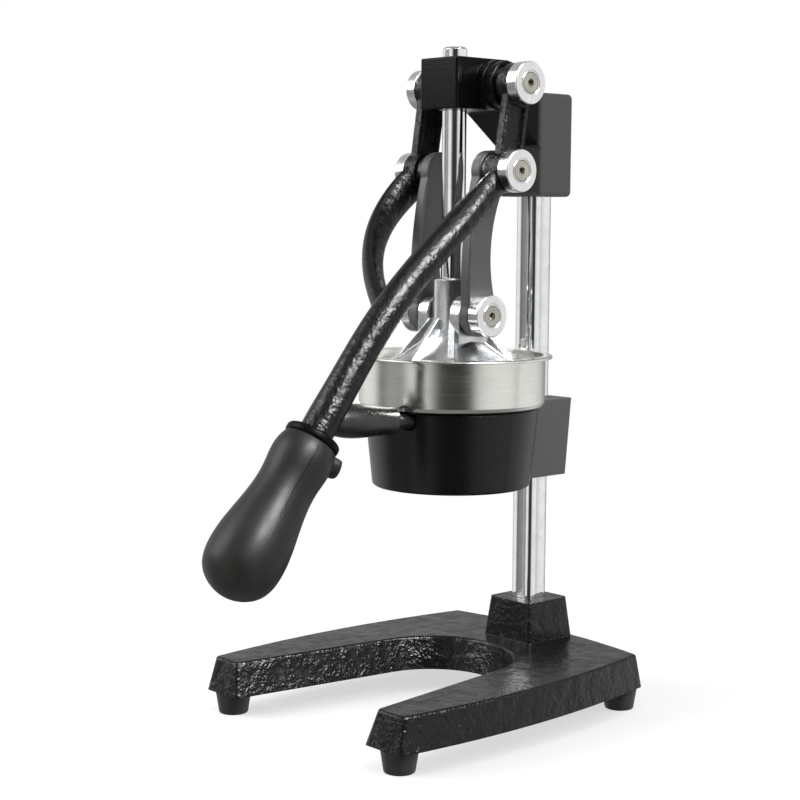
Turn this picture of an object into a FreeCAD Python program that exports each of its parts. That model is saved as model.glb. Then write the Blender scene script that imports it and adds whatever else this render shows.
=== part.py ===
import math
import os

import FreeCAD
import Part

# Sizes in millimetres
# Z is up, the handle is at the front on -Y, and the rod's axis is x = 0, y = 0

# Base
foot_height = 13.1
foot_bottom_radius = 8.5
foot_top_radius = 10.6
front_foot_x = 73.5
front_foot_y = -106.0
rear_foot_x = 70.0
rear_foot_inset = 9.5
base_height = 19.7
base_front_y = -117.0
base_front_half_width = 86.0
base_side_half_width = 91.5
base_side_y = -20.0
base_rear_half_width = 80.0
base_rear_overhang = 24.6
base_rear_bow = 8.5
base_outer_draft = 2.6
base_front_draft = 4.6
opening_front_half_width = 56.8
opening_round_radius = 42.5
opening_centre_y = -13.0
opening_draft = 5.2
base_wall = 6.0
base_top_plate = 7.0
base_edge_radius = 1.8
base_corner_radius = 4.0
pedestal_height = 24.5
pedestal_bottom_half = 20.0
pedestal_top_half = 17.2
pedestal_corner_radius = 3.0
foot_boss_radius = 9.0
foot_screw_radius = 2.1
foot_screw_head_radius = 4.4
foot_screw_head_height = 2.5
foot_screw_recess = 1.5
foot_screw_grip = 9.0

# Column
column_half_side = 8.0
column_corner_radius = 2.6
column_clearance = 1.0
column_socket_floor = 6.0
column_socket_depth = 31.0
column_bolt_radius = 4.0
column_bolt_thread = 24.0
column_bolt_head_width = 13.0
column_bolt_head_height = 5.2
column_washer_radius = 10.0
column_washer_height = 1.6
slip_clearance = 0.1

# Head
total_height = 390.0
rod_stand_above_head = 6.4
guide_block_height = 29.4
guide_block_half_width = 15.4
guide_block_front_y = -13.2
head_block_half_width = 18.0
head_block_half_depth = 14.6
head_block_drop = 17.1
head_block_height = 61.5
head_block_edge_radius = 3.0
head_arm_drop = 20.2
head_column_cover = 8.5
boss_radius = 13.4
boss_reach = 28.0
set_screw_radius = 2.5
set_screw_socket_width = 2.5

# Pivots
shaft_radius = 5.0
running_clearance = 0.05
side_clearance = 0.3
top_pivot_y = 15.5
top_pivot_drop = 15.3
crank_length = 50.2
crank_rest_angle = 8.7
ear_pivot_rise = 23.4
spacer_width = 3.9
spacer_radius = 10.6

# End caps and their screws
cap_radius = 12.2
cap_width = 7.5
cap_edge_radius = 0.9
cap_groove_radius = 7.4
cap_groove_depth = 0.5
cap_screw_head_radius = 6.2
cap_screw_head_depth = 3.4
cap_screw_radius = 2.5
cap_screw_thread = 9.0
cap_screw_socket_width = 4.0
cap_screw_socket_depth = 2.6

# Rod, bell and links
rod_radius = 7.1
bush_wall = 1.7
bush_length = 11.5
hub_radius = 11.6
hub_rise = 21.2
hub_base_drop = 11.8
bell_rim_gap = 3.8
bell_rim_drop = 36.8
bell_rim_height = 6.0
bell_shoulder_radius = 31.0
bell_shoulder_drop = 25.3
bell_wall = 4.2
bell_rib_count = 6
bell_rib_width = 3.4
bell_rib_rise = 1.8
press_rib_count = 8
press_rib_drop = 4.0
rod_socket_depth = 25.0
rod_screw_radius = 3.0
rod_screw_head_radius = 5.5
rod_screw_head_height = 4.0
rod_screw_thread = 16.0
ear_radius = 11.5
ear_width = 5.9
link_width = 7.4
link_upper_radius = 12.0
link_lower_radius = 12.4
link_front_bulge_share = 0.17
link_rear_hollow_share = 0.038
link_neck_share = 0.55
link_bush_wall = 1.5
link_edge_radius = 1.2

# Lever
crank_hub_width = 10.0
crank_hub_radius = 12.4
top_hub_width = 6.2
top_hub_radius = 11.8
crank_arm_width = 18.0
crank_panel_width = 11.5
crank_panel_depth = 1.6
arm_angle = 50.3
knee_distance = 114.7
knee_radius = 320.0
bar_angle = 37.4
bar_length = 85.2
bar_x = 34.0
bar_radius_at_hub = 8.0
bar_radius_at_grip = 9.3
arm_half_width_at_hub = 4.8
bow_half_width = 5.6
bow_depth_at_hub = 11.0
bow_depth_at_join = 5.8
bow_join_distance = 120.3
bow_curve_power = 1.85
bow_outward = 9.0
tang_radius = 5.5
tang_length = 58.0
collar_radius = 15.4
collar_width = 5.0
grip_length = 92.7
grip_top_radius = 14.8
grip_shoulder_radius = 17.0
grip_waist_radius = 16.1
grip_bulb_radius = 21.1
grip_bulb_distance = 68.3
grip_turn = 20.0
grip_guard_radius = 5.4
grip_guard_height = 21.5
grip_guard_distance = 8.0
grip_guard_lean = 15.0
grip_seam_width = 0.7
grip_seam_depth = 0.4
grip_seam_length = 46.0

# Bowl, funnel and cup
bowl_top = 182.0
bowl_height = 47.0
bowl_top_radius = 51.5
bowl_taper = 4.7
bowl_wall = 4.6
bowl_floor = 5.0
bowl_outlet_radius = 24.0
bowl_ledge_depth = 21.0
bowl_ledge_width = 3.4
clamp_half_width = 18.0
clamp_rear_wall = 10.6
clamp_taper = 3.0
clamp_corner_radius = 3.0
funnel_wall = 1.0
funnel_spout_radius = 13.0
funnel_spout_length = 5.0
cup_overhang = 3.5
cup_wall = 1.2
cup_flange_reach = 4.0
cup_rim_height = 29.4
cup_corner_radius = 3.0
cup_lower_gap = 2.9
cup_lower_depth = 17.0
cup_cone_radius = 28.0
cup_cone_height = 27.0
cup_cone_tip_radius = 4.0
cup_slot_count = 24
cup_slot_width = 2.0
cup_slot_length = 9.0
handle_x = 15.0
handle_drop = 5.2
handle_tilt = 4.5
neck_radius = 4.2
neck_clearance = 0.9
cup_grip_root_radius = 7.9
cup_grip_middle_radius = 9.3
cup_grip_end_radius = 7.0
cup_grip_gap = 5.9
cup_grip_length = 52.0

# Places that follow from the sizes
base_bottom = foot_height
base_top = base_bottom + base_height
pedestal_top = base_top + pedestal_height
column_bottom = pedestal_top - column_socket_depth
bowl_bottom_radius = bowl_top_radius - bowl_taper
cup_radius = bowl_top_radius + cup_overhang
cup_lower_radius = bowl_top_radius - bowl_wall - cup_lower_gap
cup_bottom = bowl_top + funnel_wall
cup_top = cup_bottom + cup_rim_height
column_y = cup_radius + cup_flange_reach + column_clearance + column_half_side
clamp_rear_y = column_y + column_half_side + clamp_rear_wall
base_rear_y = column_y + base_rear_overhang
base_rear_corner_y = base_rear_y - base_rear_bow
rear_foot_y = base_rear_corner_y - rear_foot_inset
head_top = total_height - rod_stand_above_head
guide_block_bottom = head_top - guide_block_height
head_block_top = head_top - head_block_drop
top_pivot_z = head_top - top_pivot_drop
ear_pivot_z = cup_top + ear_pivot_rise
hub_top = ear_pivot_z + hub_rise
hub_base = ear_pivot_z - hub_base_drop
bell_shoulder_z = ear_pivot_z - bell_shoulder_drop
bell_rim_top = ear_pivot_z - bell_rim_drop
bell_rim_radius = cup_radius - cup_wall - bell_rim_gap
head_block_bottom = head_block_top - head_block_height
column_top = head_block_top - head_column_cover
crank_tilt = math.radians(crank_rest_angle)
crank_pivot_y = top_pivot_y - crank_length * math.sin(crank_tilt)
crank_pivot_z = top_pivot_z - crank_length * math.cos(crank_tilt)
ear_face_x = hub_radius + ear_width
link_inner_x = ear_face_x + side_clearance
link_outer_x = link_inner_x + link_width
ear_cap_x = link_outer_x + side_clearance
crank_pin_x = link_outer_x + side_clearance
crank_hub_x = crank_pin_x + spacer_width + side_clearance
crank_cap_x = crank_hub_x + crank_hub_width + side_clearance
top_hub_x = boss_reach + spacer_width + side_clearance
top_cap_x = top_hub_x + top_hub_width + side_clearance
bore_radius = rod_radius + running_clearance + bush_wall
rod_bottom = hub_top - rod_socket_depth
bell_under_z = hub_base - bell_wall - 1.0
link_length = math.hypot(crank_pivot_y, crank_pivot_z - ear_pivot_z)
link_tilt = math.degrees(math.atan2(crank_pivot_y, crank_pivot_z - ear_pivot_z))

up = FreeCAD.Vector(0, 0, 1)
along_x = FreeCAD.Vector(1, 0, 0)
along_y = FreeCAD.Vector(0, 1, 0)
origin = FreeCAD.Vector(0, 0, 0)


def point(x, y, z=0.0):
    return FreeCAD.Vector(x, y, z)


def upright(radius, bottom, top, x=0.0, y=0.0):
    return Part.makeCylinder(radius, top - bottom, point(x, y, bottom), up)


def crosswise(radius, start, end, y, z):
    return Part.makeCylinder(radius, end - start, point(start, y, z), along_x)


def block(x_start, x_end, y_start, y_end, z_start, z_end):
    corner = point(x_start, y_start, z_start)
    return Part.makeBox(x_end - x_start, y_end - y_start, z_end - z_start, corner)


def mirrored(shape):
    return shape.mirror(origin, along_x)


def both_sides(shape):
    return [shape, mirrored(shape)]


def closed_outline(points):
    return Part.makePolygon(points + [points[0]])


def turned(points):
    """Turns a profile of (radius, height) points about the vertical axis."""
    outline = closed_outline([point(radius, 0, height) for radius, height in points])
    return Part.Face(outline).revolve(origin, up, 360)


def arc(start, middle, end):
    return Part.Arc(start, middle, end).toShape()


def line(start, end):
    return Part.LineSegment(start, end).toShape()


def rounded_square(half_x, half_y, radius, centre_y, z):
    """A rectangle with round corners on a level, centred on x = 0."""
    plate = block(-half_x, half_x, centre_y - half_y, centre_y + half_y, z, z + 1)
    corners = [edge for edge in plate.Edges if abs(edge.tangentAt(edge.FirstParameter).z) > 0.5]
    plate = plate.makeFillet(radius, corners)
    lowest = min(plate.Faces, key=lambda face: face.CenterOfMass.z)
    return lowest.OuterWire


def tapered_block(bottom_wire, top_wire):
    return Part.makeLoft([bottom_wire, top_wire], True, True)


def edges_along(shape, direction, test):
    """The straight edges of a shape that run along a direction and pass a test."""
    found = []
    for edge in shape.Edges:
        if edge.Curve.TypeId != "Part::GeomLine":
            continue
        run = edge.tangentAt(edge.FirstParameter)
        if abs(run.dot(direction)) > 0.9 and test(edge.CenterOfMass):
            found.append(edge)
    return found


def hexagon(width, centre, axis, length):
    """A hexagonal bar, with its width across the flats."""
    prism = Part.makePolygon([
        point(width / math.sqrt(3) * math.cos(math.radians(60 * k)),
              width / math.sqrt(3) * math.sin(math.radians(60 * k)), 0)
        for k in range(7)])
    bar = Part.Face(prism).extrude(point(0, 0, length))
    bar.Placement = FreeCAD.Placement(centre, FreeCAD.Rotation(up, axis))
    return bar


# Base, feet and column


def base_outline(z, outer_inset, front_inset, opening_inset):
    """The U-shaped outline of the base on one level."""
    front = base_front_y + front_inset
    outer_front = base_front_half_width - outer_inset
    outer_side = base_side_half_width - outer_inset
    outer_rear = base_rear_half_width - outer_inset
    rear_corner = base_rear_corner_y - outer_inset
    rear = base_rear_y - outer_inset
    inner_front = opening_front_half_width + opening_inset
    radius = opening_round_radius + opening_inset
    reach = math.hypot(inner_front, front - opening_centre_y)
    bearing = math.atan2(front - opening_centre_y, inner_front) + math.acos(radius / reach)
    meet_x = radius * math.cos(bearing)
    meet_y = opening_centre_y + radius * math.sin(bearing)
    edges = [
        line(point(inner_front, front, z), point(outer_front, front, z)),
        arc(point(outer_front, front, z), point(outer_side, base_side_y, z),
            point(outer_rear, rear_corner, z)),
        arc(point(outer_rear, rear_corner, z), point(0, rear, z),
            point(-outer_rear, rear_corner, z)),
        arc(point(-outer_rear, rear_corner, z), point(-outer_side, base_side_y, z),
            point(-outer_front, front, z)),
        line(point(-outer_front, front, z), point(-inner_front, front, z)),
        line(point(-inner_front, front, z), point(-meet_x, meet_y, z)),
        arc(point(-meet_x, meet_y, z), point(0, opening_centre_y + radius, z),
            point(meet_x, meet_y, z)),
        line(point(meet_x, meet_y, z), point(inner_front, front, z)),
    ]
    return Part.Wire(edges)


foot_centres = [
    (front_foot_x, front_foot_y),
    (-front_foot_x, front_foot_y),
    (rear_foot_x, rear_foot_y),
    (-rear_foot_x, rear_foot_y),
]


def make_base():
    body = tapered_block(base_outline(base_bottom, 0, 0, 0),
                         base_outline(base_top, base_outer_draft, base_front_draft,
                                      opening_draft))
    corners = []
    for edge in body.Edges:
        middle = edge.CenterOfMass
        is_upright = abs(edge.Vertexes[0].Z - edge.Vertexes[-1].Z) > base_height / 2
        if is_upright and abs(middle.y - base_side_y) > (base_rear_corner_y - base_side_y) / 2:
            corners.append(edge)
    body = body.makeFillet(base_corner_radius, corners)
    rim = [edge for edge in body.Edges if edge.BoundBox.ZMin > base_top - 0.01]
    body = body.makeFillet(base_edge_radius, rim)
    pocket = Part.Face(base_outline(base_bottom, base_wall, base_wall + base_front_draft,
                                    base_wall + opening_draft))
    pocket = pocket.extrude(point(0, 0, base_height - base_top_plate))
    socket_block = block(-pedestal_bottom_half, pedestal_bottom_half,
                         column_y - pedestal_bottom_half, column_y + pedestal_bottom_half,
                         base_bottom, base_top)
    pocket = pocket.cut(socket_block)
    for x, y in foot_centres:
        pocket = pocket.cut(upright(foot_boss_radius, base_bottom, base_top, x, y))
    pedestal = tapered_block(
        rounded_square(pedestal_bottom_half, pedestal_bottom_half, pedestal_corner_radius,
                       column_y, base_top - 2),
        rounded_square(pedestal_top_half, pedestal_top_half, pedestal_corner_radius,
                       column_y, pedestal_top))
    body = body.fuse(pedestal).cut(pocket)
    hole = column_half_side + slip_clearance
    socket = Part.Face(rounded_square(hole, hole, column_corner_radius, column_y, column_bottom))
    body = body.cut(socket.extrude(point(0, 0, column_socket_depth + 1)))
    recess_top = column_bottom - column_socket_floor
    body = body.cut(upright(column_washer_radius + 0.5, base_bottom - 1, recess_top, 0, column_y))
    body = body.cut(upright(column_bolt_radius + 0.3, base_bottom, column_bottom + 1, 0, column_y))
    for x, y in foot_centres:
        body = body.cut(upright(foot_screw_radius, base_bottom - 1,
                                base_bottom + foot_screw_grip, x, y))
    return body


def make_feet():
    feet = []
    for x, y in foot_centres:
        foot = Part.makeCone(foot_bottom_radius, foot_top_radius, foot_height, point(x, y, 0), up)
        foot = foot.makeFillet(1.0, [edge for edge in foot.Edges if edge.BoundBox.ZMax < 0.01])
        foot = foot.cut(upright(foot_screw_radius, -1, foot_height + 1, x, y))
        recess = foot_screw_recess + foot_screw_head_height
        feet.append(foot.cut(upright(foot_screw_head_radius, -1, recess, x, y)))
    return feet


def make_foot_screws():
    screws = []
    for x, y in foot_centres:
        head_top = foot_screw_recess + foot_screw_head_height
        head = upright(foot_screw_head_radius, foot_screw_recess, head_top, x, y)
        shank = upright(foot_screw_radius, foot_screw_recess, foot_height + foot_screw_grip, x, y)
        slot = block(x - foot_screw_head_radius, x + foot_screw_head_radius, y - 0.6, y + 0.6,
                     foot_screw_recess - 1, foot_screw_recess + 1)
        screws.append(head.fuse(shank).cut(slot))
    return screws


def make_column():
    outline = rounded_square(column_half_side, column_half_side, column_corner_radius,
                             column_y, column_bottom)
    bar = Part.Face(outline).extrude(point(0, 0, column_top - column_bottom))
    return bar.cut(upright(column_bolt_radius, column_bottom - 1,
                           column_bottom + column_bolt_thread, 0, column_y))


def make_column_washer():
    top = column_bottom - column_socket_floor
    disc = upright(column_washer_radius, top - column_washer_height, top, 0, column_y)
    return disc.cut(upright(column_bolt_radius, top - 9, top + 1, 0, column_y))


def make_column_bolt():
    head_top = column_bottom - column_socket_floor - column_washer_height
    head = hexagon(column_bolt_head_width,
                   point(0, column_y, head_top - column_bolt_head_height), up,
                   column_bolt_head_height)
    return head.fuse(upright(column_bolt_radius, head_top - 1,
                             column_bottom + column_bolt_thread, 0, column_y))


# Head


def make_head():
    guide = block(-guide_block_half_width, guide_block_half_width, guide_block_front_y,
                  top_pivot_y + boss_radius, guide_block_bottom, head_top)
    guide = guide.makeFillet(1.6, edges_along(guide, up, lambda p: p.y < 0))
    guide = guide.makeFillet(0.8, [edge for edge in guide.Edges
                                   if edge.BoundBox.YMax < top_pivot_y
                                   and edge.BoundBox.ZMax - edge.BoundBox.ZMin < 1])
    rear_face = column_y + head_block_half_depth
    front_face = column_y - head_block_half_depth
    rear = block(-head_block_half_width, head_block_half_width, front_face, rear_face,
                 head_block_bottom, head_block_top)
    rear = rear.makeFillet(head_block_edge_radius, rear.Edges)
    arm_front = top_pivot_y + boss_radius - 2
    arm_rear = front_face + head_block_edge_radius + 1
    arm_fall = head_arm_drop * (arm_rear - arm_front) / (front_face - arm_front)
    arm_profile = [
        point(0, arm_front, head_top - 3),
        point(0, arm_rear, head_block_top - 3),
        point(0, arm_rear, guide_block_bottom - arm_fall),
        point(0, arm_front, guide_block_bottom),
    ]
    arm = Part.Face(closed_outline(arm_profile)).extrude(point(2 * head_block_half_width, 0, 0))
    arm.translate(point(-head_block_half_width, 0, 0))
    arm = arm.makeFillet(1.0, [edge for edge in arm.Edges
                               if abs(edge.CenterOfMass.y - (arm_front + arm_rear) / 2) < 1])
    boss = crosswise(boss_radius, -boss_reach, boss_reach, top_pivot_y, top_pivot_z)
    boss = boss.makeFillet(1.0, [edge for edge in boss.Edges
                                 if edge.BoundBox.XMax - edge.BoundBox.XMin < 0.01])
    collar = crosswise(boss_radius + 0.9, -boss_reach + 7, boss_reach - 7,
                       top_pivot_y, top_pivot_z)
    body = guide.fuse([rear, arm, boss, collar])
    body = body.cut(upright(bore_radius, guide_block_bottom - 1, head_top + 1))
    body = body.cut(crosswise(shaft_radius, -boss_reach - 1, boss_reach + 1,
                              top_pivot_y, top_pivot_z))
    hole = column_half_side + slip_clearance
    socket = Part.Face(rounded_square(hole, hole, column_corner_radius, column_y,
                                      head_block_bottom - 1))
    body = body.cut(socket.extrude(point(0, 0, column_top - head_block_bottom + 1)))
    for z in set_screw_levels(head_block_bottom, head_block_top):
        body = body.cut(Part.makeCylinder(set_screw_radius, head_block_half_depth + 1,
                                          point(0, column_y, z), along_y))
    return body


def set_screw_levels(bottom, top):
    middle = (bottom + top) / 2
    spread = (top - bottom) * 0.22
    return [middle - spread, middle + spread]


def make_set_screws(bottom, top, face_y):
    screws = []
    start = column_y + column_half_side
    length = face_y - 0.8 - start
    for z in set_screw_levels(bottom, top):
        screw = Part.makeCylinder(set_screw_radius, length, point(0, start, z), along_y)
        key = hexagon(set_screw_socket_width, point(0, start + length - 2, z), along_y, 3)
        screws.append(screw.cut(key))
    return screws


def make_guide_bushes():
    bushes = []
    for bottom in (guide_block_bottom, head_top - bush_length):
        bush = upright(bore_radius, bottom, bottom + bush_length)
        bushes.append(bush.cut(upright(rod_radius + running_clearance, bottom - 1,
                                       bottom + bush_length + 1)))
    return bushes


# Pivots


def make_cap(x, y, z):
    """An end cap with a ring groove and a countersunk hole, on the right side."""
    face = x + cap_width
    cap = crosswise(cap_radius, x, face, y, z)
    cap = cap.makeFillet(cap_edge_radius, [edge for edge in cap.Edges
                                           if edge.BoundBox.XMin > face - 0.01])
    groove = crosswise(cap_groove_radius, face - cap_groove_depth, face + 1, y, z)
    groove = groove.cut(crosswise(cap_screw_head_radius + 0.4, face - 2, face + 2, y, z))
    sink = Part.makeCone(cap_screw_radius, cap_screw_head_radius, cap_screw_head_depth,
                         point(face - cap_screw_head_depth, y, z), along_x)
    return cap.cut([groove, sink, crosswise(cap_screw_radius, x - 1, face, y, z)])


def make_cap_screw(x, y, z):
    face = x + cap_width
    head = Part.makeCone(cap_screw_radius, cap_screw_head_radius, cap_screw_head_depth,
                         point(face - cap_screw_head_depth, y, z), along_x)
    shank = crosswise(cap_screw_radius, x - cap_screw_thread, face - 1, y, z)
    key = hexagon(cap_screw_socket_width, point(face - cap_screw_socket_depth, y, z), along_x,
                  cap_screw_socket_depth + 1)
    return head.fuse(shank).cut(key)


def make_ring(inner, outer, start, end, y, z):
    return crosswise(outer, start, end, y, z).cut(crosswise(inner, start - 1, end + 1, y, z))


def make_pin(start, end, y, z):
    """A pin on the right side with a thread for the cap's screw in its outer end."""
    pin = crosswise(shaft_radius, start, end, y, z)
    return pin.cut(crosswise(cap_screw_radius, end - cap_screw_thread, end + 1, y, z))


def make_top_shaft():
    shaft = crosswise(shaft_radius, -top_cap_x, top_cap_x, top_pivot_y, top_pivot_z)
    thread = crosswise(cap_screw_radius, top_cap_x - cap_screw_thread, top_cap_x + 1,
                       top_pivot_y, top_pivot_z)
    return shaft.cut(both_sides(thread))


# Links


def make_link():
    """The right link, drawn in the plane of its two eyes and then tilted."""
    flare = math.radians(20)
    upper = link_upper_radius
    lower = link_lower_radius
    upper_x = upper * math.cos(flare)
    upper_z = link_length - upper * math.sin(flare)
    lower_x = lower * math.cos(flare)
    lower_z = lower * math.sin(flare)
    neck_z = link_length * (1 - link_neck_share)
    front_bulge = link_length * link_front_bulge_share
    rear_hollow = link_length * link_rear_hollow_share
    top = point(0, 0, link_length + upper)
    bottom = point(0, 0, -lower)
    outline = Part.Wire([
        arc(point(0, upper_x, upper_z), top, point(0, -upper_x, upper_z)),
        arc(point(0, -upper_x, upper_z), point(0, -front_bulge, neck_z),
            point(0, -lower_x, lower_z)),
        arc(point(0, -lower_x, lower_z), bottom, point(0, lower_x, lower_z)),
        arc(point(0, lower_x, lower_z), point(0, rear_hollow, neck_z),
            point(0, upper_x, upper_z)),
    ])
    link = Part.Face(outline).extrude(point(link_width, 0, 0))
    link = link.makeFillet(link_edge_radius, [edge for edge in link.Edges
                                              if edge.BoundBox.XMax - edge.BoundBox.XMin < 0.01])
    eye = shaft_radius + running_clearance + link_bush_wall
    link = link.cut(crosswise(eye, -1, link_width + 1, 0, 0))
    link = link.cut(crosswise(eye, link_width * 0.35, link_width + 1, 0, link_length))
    link.rotate(origin, along_x, -link_tilt)
    link.translate(point(link_inner_x, 0, ear_pivot_z))
    return link


def make_link_bush():
    inner = shaft_radius + running_clearance
    return make_ring(inner, inner + link_bush_wall, link_inner_x, link_outer_x, 0, ear_pivot_z)


# Ram


def cone_height(radius):
    """The height of the bell's outer surface at a radius."""
    if radius < bell_shoulder_radius:
        share = (radius - hub_radius) / (bell_shoulder_radius - hub_radius)
        return hub_base + share * (bell_shoulder_z - hub_base)
    share = (radius - bell_shoulder_radius) / (bell_rim_radius - bell_shoulder_radius)
    return bell_shoulder_z + share * (bell_rim_top - bell_shoulder_z)


def make_bell():
    rim_bottom = bell_rim_top - bell_rim_height
    inner_rim = bell_rim_radius - bell_wall * 0.8
    body = turned([
        (0, hub_top),
        (hub_radius - 1, hub_top),
        (hub_radius, hub_top - 1),
        (hub_radius, hub_base + 3),
        (hub_radius + 3, cone_height(hub_radius + 3) + 0.6),
        (bell_shoulder_radius, bell_shoulder_z),
        (bell_rim_radius, bell_rim_top),
        (bell_rim_radius, rim_bottom),
        (inner_rim, rim_bottom),
        (inner_rim, bell_rim_top - bell_wall * 0.6),
        (bell_shoulder_radius, bell_shoulder_z - bell_wall * 1.15),
        (hub_radius, bell_under_z),
        (0, bell_under_z),
    ])
    ears = []
    for ear in both_sides(crosswise(ear_radius, hub_radius - 2, ear_face_x, 0, ear_pivot_z)):
        ears.append(ear)
    side = block(hub_radius - 2, ear_face_x, -ear_radius, ear_radius,
                 bell_under_z + 0.5, ear_pivot_z)
    ears += both_sides(side)
    reach = bell_rim_radius - 3
    ribs = []
    fin = Part.Face(closed_outline([
        point(hub_radius - 2, 0, hub_base + 9),
        point(hub_radius + 2, 0, hub_base + 9),
        point(bell_shoulder_radius, 0, bell_shoulder_z + bell_rib_rise),
        point(reach, 0, cone_height(reach) + 0.4),
        point(reach, 0, cone_height(reach) - 1.5),
        point(bell_shoulder_radius, 0, bell_shoulder_z - 2),
        point(hub_radius - 2, 0, hub_base - 2),
    ])).extrude(point(0, bell_rib_width, 0))
    fin.translate(point(0, -bell_rib_width / 2, 0))
    for k in range(bell_rib_count):
        rib = fin.copy()
        rib.rotate(origin, up, 45 * (k + 1) + (45 if k >= bell_rib_count / 2 else 0))
        ribs.append(rib)
    under_shoulder = bell_shoulder_z - bell_wall * 1.15
    press = Part.Face(closed_outline([
        point(hub_radius - 3, 0, bell_under_z + 1),
        point(bell_shoulder_radius, 0, under_shoulder + 1),
        point(inner_rim + 0.5, 0, bell_rim_top - bell_wall * 0.6),
        point(inner_rim + 0.5, 0, rim_bottom + 0.5),
        point(bell_shoulder_radius, 0, under_shoulder - press_rib_drop),
        point(hub_radius, 0, bell_under_z - press_rib_drop),
        point(hub_radius - 3, 0, bell_under_z - press_rib_drop / 2),
    ])).extrude(point(0, bell_rib_width, 0))
    press.translate(point(0, -bell_rib_width / 2, 0))
    for k in range(press_rib_count):
        rib = press.copy()
        rib.rotate(origin, up, 360 / press_rib_count * (k + 0.5))
        ribs.append(rib)
    body = body.fuse(ears + ribs)
    body = body.cut(upright(rod_radius, rod_bottom, hub_top + 1))
    body = body.cut(upright(rod_screw_radius, bell_under_z - 1, rod_bottom + 1))
    pin_hole = crosswise(shaft_radius, hub_radius + 0.4, ear_face_x + 1, 0, ear_pivot_z)
    return body.cut(both_sides(pin_hole))


def make_rod():
    rod = upright(rod_radius, rod_bottom, total_height)
    rod = rod.makeChamfer(1.2, [edge for edge in rod.Edges
                                if edge.BoundBox.ZMin > total_height - 0.01])
    return rod.cut(upright(rod_screw_radius, rod_bottom - 1, rod_bottom + rod_screw_thread))


def make_rod_screw():
    bottom = bell_under_z - rod_screw_head_height
    head = upright(rod_screw_head_radius, bottom, bell_under_z)
    head = head.makeFillet(0.8, [edge for edge in head.Edges
                                 if edge.BoundBox.ZMax < bottom + 0.01])
    key = hexagon(cap_screw_socket_width, point(0, 0, bottom - 1), up, cap_screw_socket_depth + 1)
    return head.fuse(upright(rod_screw_radius, bell_under_z - 1,
                             rod_bottom + rod_screw_thread)).cut(key)


# Lever
# A place on the lever is a distance along the arm's run from the crank pivot and an x


def run_place(distance):
    """The side-view place and direction at a distance along the arm, knee and bar."""
    first = math.radians(arm_angle)
    last = math.radians(bar_angle)
    turn = first - last
    shy = knee_radius * math.tan(turn / 2)
    bend_start = knee_distance - shy
    bend_length = knee_radius * turn
    if distance <= bend_start:
        angle = first
        y = crank_pivot_y - distance * math.sin(angle)
        z = crank_pivot_z - distance * math.cos(angle)
        return y, z, angle
    start_y = crank_pivot_y - bend_start * math.sin(first)
    start_z = crank_pivot_z - bend_start * math.cos(first)
    if distance <= bend_start + bend_length:
        angle = first - (distance - bend_start) / knee_radius
        y = start_y - knee_radius * (math.cos(angle) - math.cos(first))
        z = start_z - knee_radius * (math.sin(first) - math.sin(angle))
        return y, z, angle
    rest = distance - bend_start - bend_length
    y = start_y - knee_radius * (math.cos(last) - math.cos(first)) - rest * math.sin(last)
    z = start_z - knee_radius * (math.sin(first) - math.sin(last)) - rest * math.cos(last)
    return y, z, last


def oval(centre, forward, half_across, half_deep):
    """An oval section across a direction, with its width level with the x axis's side."""
    y, z, angle = centre
    outward = point(0, -math.cos(angle), math.sin(angle))
    across = outward.cross(forward)
    across.normalize()
    if half_across >= half_deep:
        shape = Part.Ellipse(origin, half_across + 0.001, half_deep)
        placed = FreeCAD.Placement(origin, FreeCAD.Rotation(across, outward, forward, "ZXY"))
    else:
        shape = Part.Ellipse(origin, half_deep, half_across)
        placed = FreeCAD.Placement(origin, FreeCAD.Rotation(outward, across, forward, "ZXY"))
    return Part.Wire([shape.toShape()]), placed


def section(distance, x, slope, half_across, half_deep):
    """One section of a limb: where it is, how it slopes sideways and its half sizes."""
    y, z, angle = run_place(distance)
    ahead = point(slope, -math.sin(angle), -math.cos(angle))
    ahead.normalize()
    wire, placed = oval((y, z, angle), ahead, half_across, half_deep)
    placed.Base = point(x, y, z)
    wire.Placement = placed
    return wire


def limb(sections):
    return Part.makeLoft(sections, True, False)


def bar_run_length():
    turn = math.radians(arm_angle - bar_angle)
    return knee_distance + bar_length - 2 * knee_radius * math.tan(turn / 2) + knee_radius * turn


def make_bar():
    """The right arm and the bar, from the right crank hub to the collar."""
    end = bar_run_length()
    middle_x = crank_hub_x + crank_hub_width / 2
    sections = [
        section(0, middle_x, 0, arm_half_width_at_hub, bar_radius_at_hub - 0.4),
        section(crank_hub_radius, middle_x, 0, arm_half_width_at_hub + 0.6, bar_radius_at_hub),
        section(crank_hub_radius * 2.6, bar_x, 0, bar_radius_at_hub, bar_radius_at_hub),
    ]
    for share in (0.42, 0.55, 0.7, 0.85, 1.0):
        radius = bar_radius_at_hub + (bar_radius_at_grip - bar_radius_at_hub) * share
        sections.append(section(end * share, bar_x, 0, radius, radius))
    return limb(sections)


def bow_x(distance):
    hub_middle = -(crank_hub_x + crank_hub_width / 2)
    share = distance / bow_join_distance
    swell = bow_outward * math.sin(math.pi * share)
    return hub_middle + (bar_x - hub_middle) * abs(share) ** bow_curve_power - swell


def make_bow():
    """The left arm, which bows across to join the bar."""
    sections = [section(0, bow_x(0), 0, arm_half_width_at_hub, bow_depth_at_hub - 0.6)]
    for share in (0.12, 0.3, 0.45, 0.6, 0.74, 0.87, 1.0):
        distance = share * bow_join_distance
        slope = bow_x(distance + 0.5) - bow_x(distance - 0.5)
        width = arm_half_width_at_hub + (bow_half_width - arm_half_width_at_hub) * min(1, share * 3)
        depth = bow_depth_at_hub + (bow_depth_at_join - bow_depth_at_hub) * share
        sections.append(section(distance, bow_x(distance), slope, width, depth))
    return limb(sections)


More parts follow.
